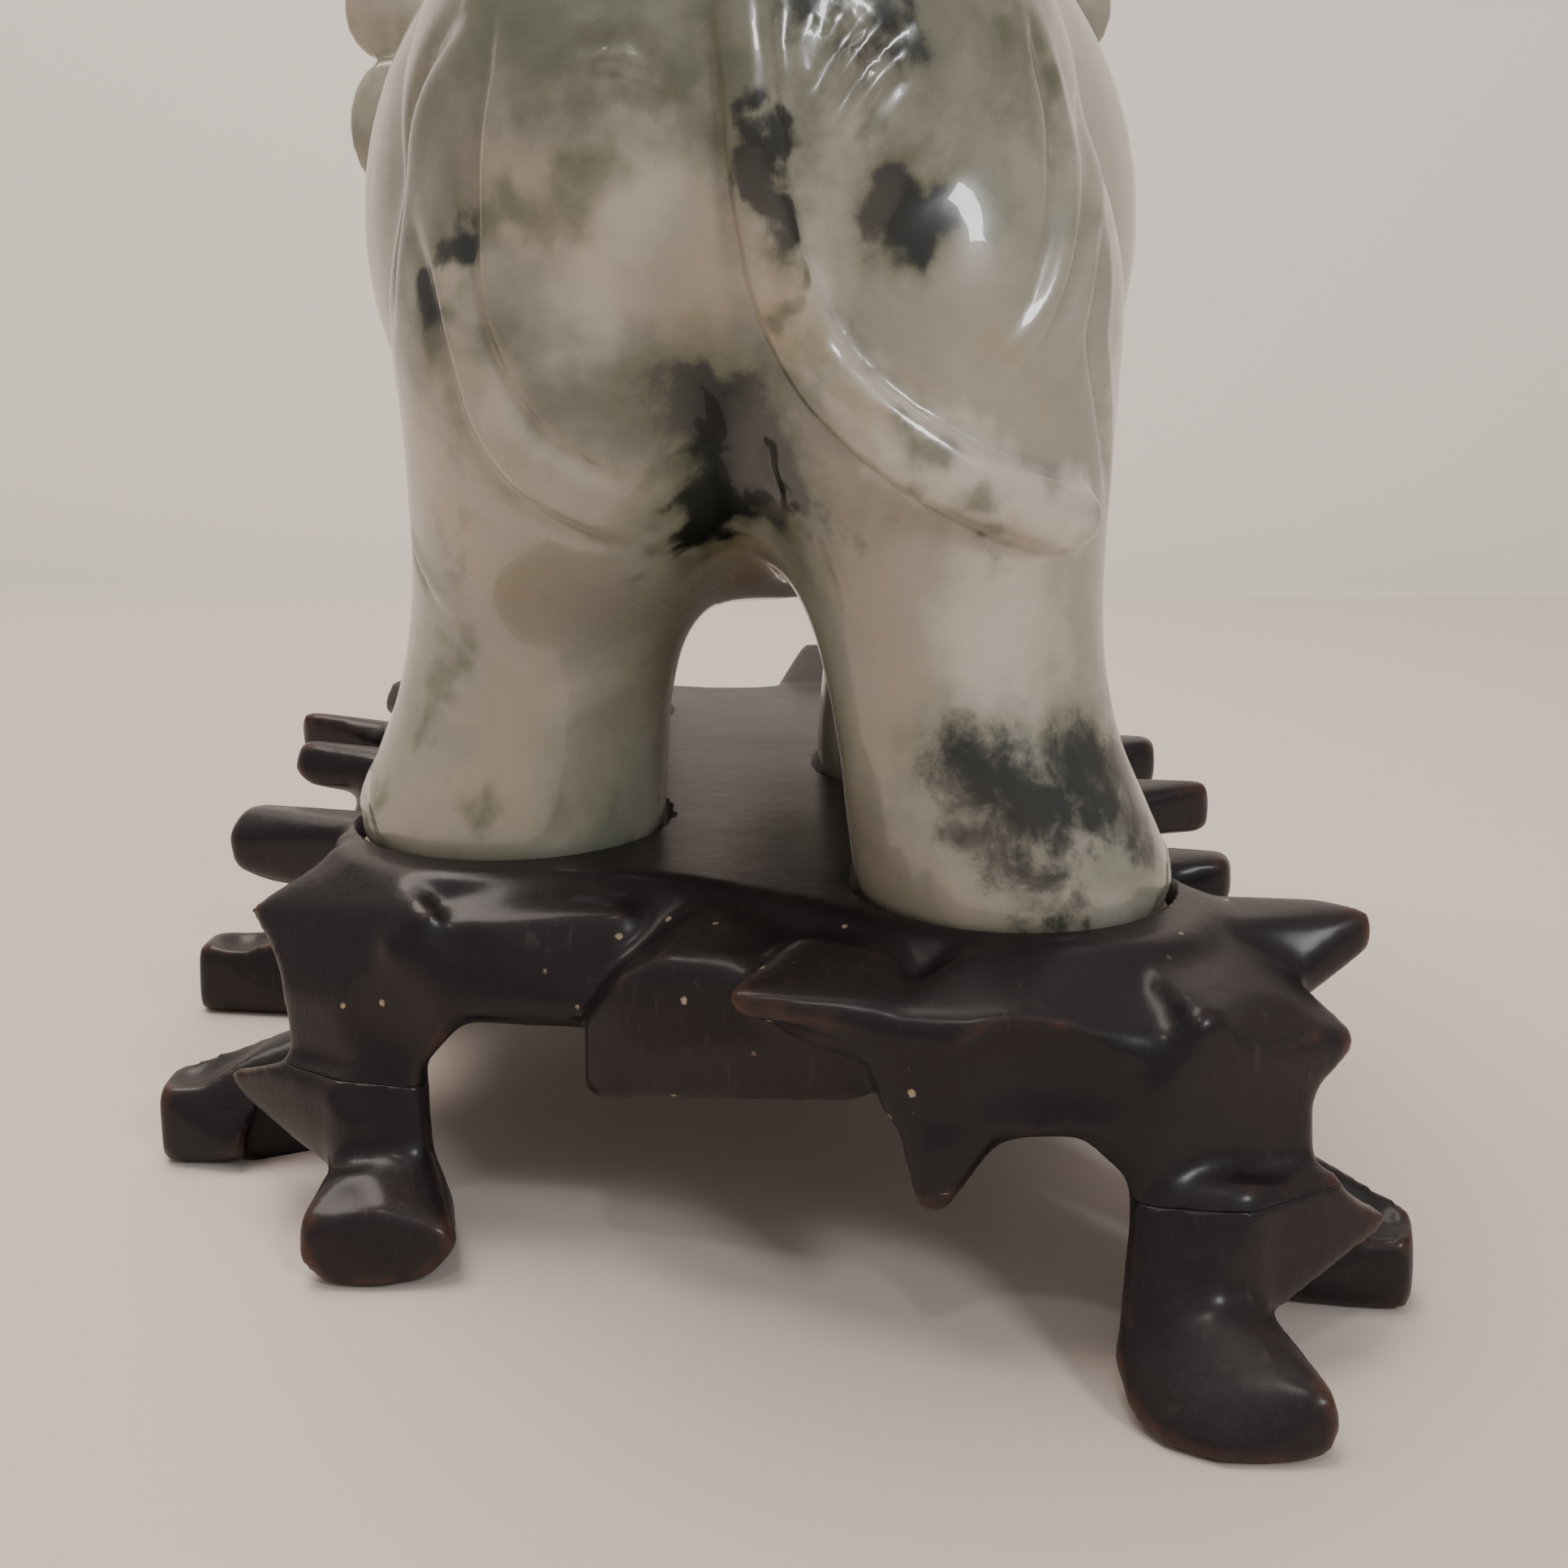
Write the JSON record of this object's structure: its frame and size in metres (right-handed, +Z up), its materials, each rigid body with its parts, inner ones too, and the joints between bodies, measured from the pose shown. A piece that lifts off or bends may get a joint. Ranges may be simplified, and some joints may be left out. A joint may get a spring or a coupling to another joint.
{
  "type": "jade elephant figurine on a wooden stand",
  "caption": "Carved jade elephant, walking, tail laid across one thigh, standing in the foot sockets of a dark carved wooden root-form stand.",
  "frame": {"origin": "on the ground, at the middle of the stand's footprint", "axes": "+Z up, the elephant faces -Y and its tail is at +Y, its left side is at +X"},
  "size_m": [0.1668, 0.1763, 0.1669],
  "materials": {
    "jade": "polished mottled grey-green jade",
    "tusk": "polished pale stone",
    "lacquered_wood": "dark worn satin lacquer",
    "peg_wood": "bare hardwood",
    "wax": "old setting wax"
  },
  "bodies": {
    "stand": {"stand_board": "lacquered_wood", "setting_wax": "wax", "leg_pegs": "peg_wood", "stand_leg_rear_left": "lacquered_wood", "stand_leg_rear_right": "lacquered_wood", "stand_leg_side_rear_left": "lacquered_wood", "stand_leg_side_rear_right": "lacquered_wood", "stand_leg_side_front_left": "lacquered_wood", "stand_leg_side_front_right": "lacquered_wood", "stand_leg_front_left": "lacquered_wood", "stand_leg_front_right": "lacquered_wood"},
    "figure": {"jade_elephant": "jade", "tusk_left": "tusk", "tusk_right": "tusk"}
  },
  "joints": [
    {"name": "figure_lift", "type": "slide", "parent": "stand", "child": "figure", "axis": [0, 0, 1], "range_m": [0, 0.03]}
  ]
}
